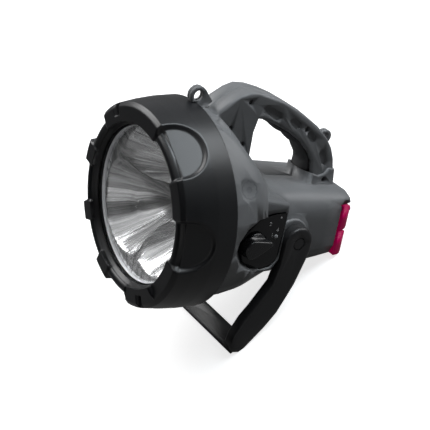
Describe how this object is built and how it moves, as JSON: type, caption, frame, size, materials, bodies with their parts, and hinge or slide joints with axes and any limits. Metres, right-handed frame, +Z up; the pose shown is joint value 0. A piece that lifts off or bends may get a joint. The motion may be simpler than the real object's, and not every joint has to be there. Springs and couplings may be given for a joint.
{
  "type": "rechargeable searchlight",
  "caption": "Hand-held rechargeable searchlight with a round lugged bezel, closed grip handle, side selector knob, rear lamp and swinging U-shaped stand",
  "frame": {"origin": "under the middle of the bounding box, on the surface that the light stands on with its stand's feet and its tail", "axes": "+Z up, the beam leaves towards -Y and about 34 degrees upwards, +X is the side of the selector knob"},
  "size_m": [0.189, 0.2516, 0.235],
  "materials": {
    "bezel_dark": "satin moulded, dark charcoal",
    "black_rubber": "matt rubber",
    "clear_lens": "clear moulded polycarbonate",
    "chrome": "vacuum metallised mirror",
    "board_white": "white solder mask",
    "led": "phosphor yellow emitter",
    "aluminium": "bare extruded",
    "shell_grey": "fine satin grey moulding",
    "grip_dark": "dark soft grip",
    "gloss_black": "glossy black",
    "button_grey": "matt grey",
    "magenta_lens": "tinted moulded lens",
    "board_green": "green solder mask",
    "button_purple": "dull purple grey",
    "battery": "shrink-wrapped pack",
    "black_plastic": "satin black moulding",
    "steel": "zinc plated"
  },
  "bodies": {
    "light": {"bezel": "bezel_dark", "lens_gasket": "black_rubber", "front_lens": "clear_lens", "reflector": "chrome", "led_board": "board_white", "led_1": "led", "led_2": "led", "led_3": "led", "heat_sink": "aluminium", "housing_left": "shell_grey", "housing_right": "shell_grey", "finger_grip": "grip_dark", "dial_plate": "gloss_black", "pilot_button": "button_grey", "switch_body": "gloss_black", "handle_screw_1": "steel", "handle_screw_2": "steel", "handle_screw_3": "steel", "handle_screw_4": "steel", "handle_screw_5": "steel", "pivot_screw_left": "steel", "pivot_screw_right": "steel", "pivot_sleeve_left": "steel", "pivot_sleeve_right": "steel", "rear_lens_upper": "magenta_lens", "rear_lens_lower": "magenta_lens", "rear_led_board": "board_green", "rear_button": "button_purple", "battery_pack": "battery", "charge_board": "board_green", "dc_socket": "black_plastic"},
    "stand": {"stand_bail": "black_plastic", "foot_pad_left": "black_rubber", "foot_pad_right": "black_rubber", "pivot_cap_left": "black_plastic", "pivot_cap_right": "black_plastic"},
    "selector": {"selector_knob": "gloss_black", "selector_shaft": "steel"}
  },
  "joints": [
    {"name": "stand_hinge", "type": "hinge", "parent": "light", "child": "stand", "pos_m": [0, 0.02786, 0.06409], "axis": [1, 0, 0], "range_deg": [0, 183]},
    {"name": "selector_turn", "type": "hinge", "parent": "light", "child": "selector", "pos_m": [0.0632, -0.01042, 0.09494], "axis": [1, 0, 0], "range_deg": [-60, 60]}
  ]
}
